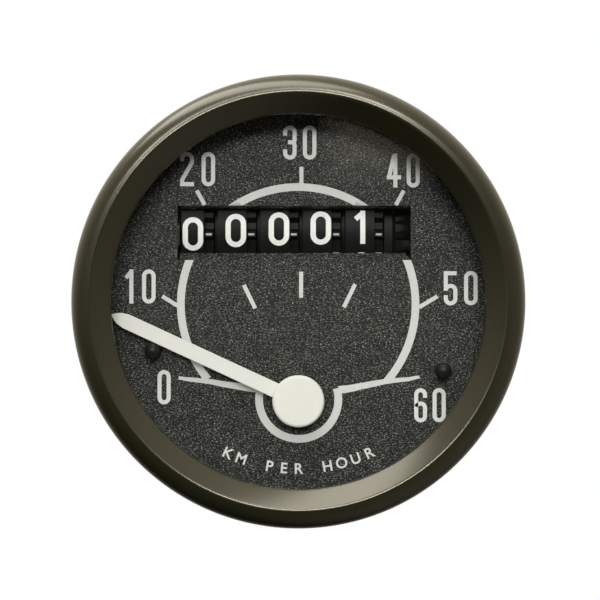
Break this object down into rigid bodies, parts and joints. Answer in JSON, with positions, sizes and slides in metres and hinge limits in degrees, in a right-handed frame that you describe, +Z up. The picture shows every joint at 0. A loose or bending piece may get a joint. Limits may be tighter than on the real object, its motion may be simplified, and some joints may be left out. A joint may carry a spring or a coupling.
{
  "type": "speedometer",
  "caption": "Round panel speedometer for a moped: black bezel, flat glass, grained dial with a swinging pointer, number-drum odometer window and a threaded drive nipple behind.",
  "frame": {"origin": "on the body's axis, in the plane where the bezel seats on its panel", "axes": "+X right and +Z up as the face is read, +Y from the face towards the cable; the viewer is on the -Y side"},
  "size_m": [0.052, 0.0439, 0.052],
  "materials": {
    "bezel_paint": "satin",
    "glass": "polished",
    "seal_rubber": "matt",
    "case_steel": "zinc plated, satin",
    "dial_paint": "painted, fine grain",
    "plated_steel": "zinc plated",
    "bright_steel": "ground",
    "brass": "turned",
    "die_cast": "as cast",
    "spring_bronze": "rolled strip",
    "magnet": "sintered",
    "cup_aluminium": "spun",
    "needle_paint": "painted, satin",
    "pin_black": "gloss",
    "drum_black": "gloss",
    "gear_plastic": "moulded",
    "dark_plastic": "moulded",
    "fibre": "fibre washer"
  },
  "bodies": {
    "housing": {"bezel": "bezel_paint", "glass": "glass", "glass_gasket": "seal_rubber", "spacer_ring": "case_steel", "housing_can": "case_steel", "drive_nipple": "plated_steel", "spindle_bush": "brass", "mounting_studs": "plated_steel", "frame_screws": "plated_steel", "dial": "dial_paint", "stop_pins": "pin_black", "front_bridge": "plated_steel", "staff_bush": "brass", "bridge_pillars": "brass", "hairspring": "spring_bronze", "movement_frame": "die_cast", "odometer_plate_left": "plated_steel", "odometer_plate_right": "plated_steel", "plate_screws": "plated_steel", "odometer_shaft": "bright_steel", "pinion_shaft": "bright_steel", "shaft_clips": "plated_steel"},
    "spindle": {"drive_spindle": "bright_steel", "ring_magnet": "magnet", "field_cup": "plated_steel"},
    "pointer": {"drag_cup": "cup_aluminium", "pointer_staff": "bright_steel", "hairspring_collet": "brass", "needle_hub": "brass", "needle": "needle_paint", "needle_cap": "needle_paint"},
    "cross_drive": {"cross_shaft": "bright_steel", "cross_wheel": "gear_plastic"},
    "riser_drive": {"riser_shaft": "bright_steel", "riser_wheel": "gear_plastic"},
    "units_wheel": {"units_drum": "drum_black", "drive_wheel": "dark_plastic", "drive_collar": "dark_plastic", "friction_washer": "fibre"},
    "tens_wheel": {"tens_drum": "drum_black"},
    "hundreds_wheel": {"hundreds_drum": "drum_black"},
    "thousands_wheel": {"thousands_drum": "drum_black"},
    "ten_thousands_wheel": {"ten_thousands_drum": "drum_black"},
    "transfer_1": {"transfer_pinion_1": "gear_plastic"},
    "transfer_2": {"transfer_pinion_2": "gear_plastic"},
    "transfer_3": {"transfer_pinion_3": "gear_plastic"},
    "transfer_4": {"transfer_pinion_4": "gear_plastic"}
  },
  "joints": [
    {"name": "spindle_spin", "type": "hinge", "parent": "housing", "child": "spindle", "pos_m": [0, 0, -0.0116], "axis": [0, 1, 0], "continuous": true},
    {"name": "pointer_swing", "type": "hinge", "parent": "housing", "child": "pointer", "pos_m": [0, 0, -0.0116], "axis": [0, 1, 0], "range_deg": [0, 137.4], "stiffness_Nm_per_rad": 0.0001, "springref_deg": -11.46},
    {"name": "cross_spin", "type": "hinge", "parent": "housing", "child": "cross_drive", "pos_m": [0, 0.0112, -0.0047], "axis": [-1, 0, 0], "continuous": true},
    {"name": "riser_spin", "type": "hinge", "parent": "housing", "child": "riser_drive", "pos_m": [0.01332, 0.016, 0], "axis": [0, 0, -1], "continuous": true},
    {"name": "units_roll", "type": "hinge", "parent": "housing", "child": "units_wheel", "pos_m": [0, 0.0083, 0.0085], "axis": [-1, 0, 0], "continuous": true},
    {"name": "tens_roll", "type": "hinge", "parent": "housing", "child": "tens_wheel", "pos_m": [0, 0.0083, 0.0085], "axis": [-1, 0, 0], "continuous": true},
    {"name": "hundreds_roll", "type": "hinge", "parent": "housing", "child": "hundreds_wheel", "pos_m": [0, 0.0083, 0.0085], "axis": [-1, 0, 0], "continuous": true},
    {"name": "thousands_roll", "type": "hinge", "parent": "housing", "child": "thousands_wheel", "pos_m": [0, 0.0083, 0.0085], "axis": [-1, 0, 0], "continuous": true},
    {"name": "ten_thousands_roll", "type": "hinge", "parent": "housing", "child": "ten_thousands_wheel", "pos_m": [0, 0.0083, 0.0085], "axis": [-1, 0, 0], "continuous": true},
    {"name": "transfer_1_spin", "type": "hinge", "parent": "housing", "child": "transfer_1", "pos_m": [0, 0.01659, 0.01346], "axis": [-1, 0, 0], "continuous": true},
    {"name": "transfer_2_spin", "type": "hinge", "parent": "housing", "child": "transfer_2", "pos_m": [0, 0.01659, 0.01346], "axis": [-1, 0, 0], "continuous": true},
    {"name": "transfer_3_spin", "type": "hinge", "parent": "housing", "child": "transfer_3", "pos_m": [0, 0.01659, 0.01346], "axis": [-1, 0, 0], "continuous": true},
    {"name": "transfer_4_spin", "type": "hinge", "parent": "housing", "child": "transfer_4", "pos_m": [0, 0.01659, 0.01346], "axis": [-1, 0, 0], "continuous": true}
  ],
  "couplings": [
    {"joint": "cross_spin", "follows": "spindle_spin", "ratio": 0.05},
    {"joint": "riser_spin", "follows": "spindle_spin", "ratio": 0.002},
    {"joint": "units_roll", "follows": "spindle_spin", "ratio": 0.0001},
    {"joint": "tens_roll", "follows": "spindle_spin", "ratio": 0.00001},
    {"joint": "hundreds_roll", "follows": "spindle_spin", "ratio": 0.000001},
    {"joint": "thousands_roll", "follows": "spindle_spin", "ratio": 0.0000001},
    {"joint": "ten_thousands_roll", "follows": "spindle_spin", "ratio": 0.00000001},
    {"joint": "transfer_1_spin", "follows": "spindle_spin", "ratio": -0.000025},
    {"joint": "transfer_2_spin", "follows": "spindle_spin", "ratio": -0.0000025},
    {"joint": "transfer_3_spin", "follows": "spindle_spin", "ratio": -0.00000025},
    {"joint": "transfer_4_spin", "follows": "spindle_spin", "ratio": -0.000000025}
  ]
}
